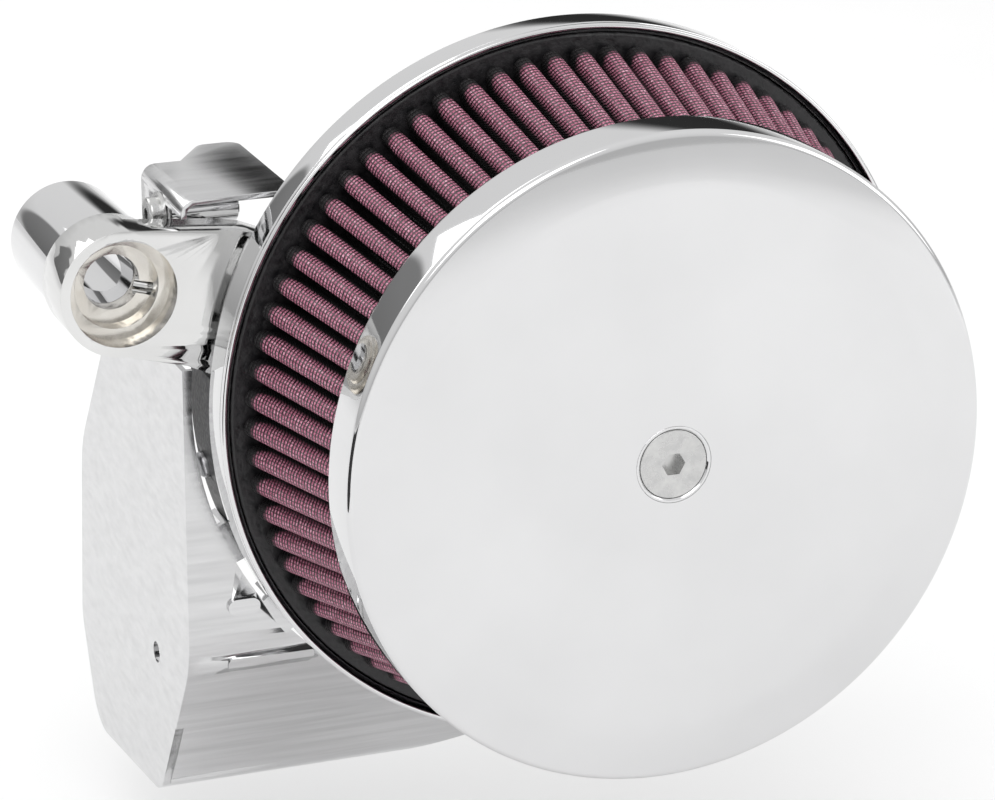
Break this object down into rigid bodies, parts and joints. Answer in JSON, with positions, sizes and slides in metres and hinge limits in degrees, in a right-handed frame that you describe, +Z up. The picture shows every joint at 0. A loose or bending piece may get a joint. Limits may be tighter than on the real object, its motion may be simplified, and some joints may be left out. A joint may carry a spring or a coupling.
{
  "type": "motorcycle air filter",
  "caption": "Round tapered motorcycle air cleaner: pleated filter under a chrome cover, with a breather arm, support bracket and throttle shroud.",
  "frame": {"origin": "centre of the neck's bore on the face that meets the throttle body", "axes": "+Y points out of the neck towards the throttle body, so the cover faces -Y; +Z is up"},
  "size_m": [0.2362, 0.1987, 0.2295],
  "materials": {
    "chrome": "polished",
    "polished_aluminium": "polished, machined bores",
    "brushed_plate": "chromed sheet with fine brushing",
    "screw_steel": "satin",
    "black_casting": "black powder coat",
    "zinc_steel": "zinc plated",
    "black_rubber": "satin",
    "red_gauze": "oiled cotton gauze",
    "wire_mesh": "fine black wire mesh"
  },
  "bodies": {
    "base": {"neck_adapter": "black_casting", "neck_o_ring": "black_rubber", "neck_screws": "zinc_steel", "base_plate": "black_casting", "rim_screws": "zinc_steel", "back_plate": "chrome", "plate_screws": "zinc_steel", "arm_screws": "zinc_steel", "mounting_arm": "polished_aluminium", "breather_o_ring": "black_rubber", "spacer_tube": "chrome", "post_bridge": "zinc_steel", "bridge_screws": "zinc_steel", "center_post": "zinc_steel", "throttle_shroud": "chrome", "shroud_screws": "zinc_steel", "top_bracket": "brushed_plate", "bracket_washer": "screw_steel", "bracket_screw": "screw_steel", "bracket_barrel": "chrome", "bracket_foot_screw": "screw_steel"},
    "element": {"filter_media": "red_gauze", "outer_mesh": "wire_mesh", "inner_cage": "zinc_steel", "base_ring": "black_rubber", "front_ring": "black_rubber"},
    "cover": {"front_cover": "chrome", "screw_seat": "chrome"},
    "cover_screw": {"cover_screw": "screw_steel"}
  },
  "joints": [
    {"name": "element_slide", "type": "slide", "parent": "base", "child": "element", "axis": [0, -1, 0], "range_m": [0, 0.12]},
    {"name": "cover_slide", "type": "slide", "parent": "element", "child": "cover", "axis": [0, -1, 0], "range_m": [0, 0.06]},
    {"name": "cover_screw_turn", "type": "hinge", "parent": "cover", "child": "cover_screw", "pos_m": [0, -0.1233, 0], "axis": [0, 1, 0], "continuous": true}
  ]
}
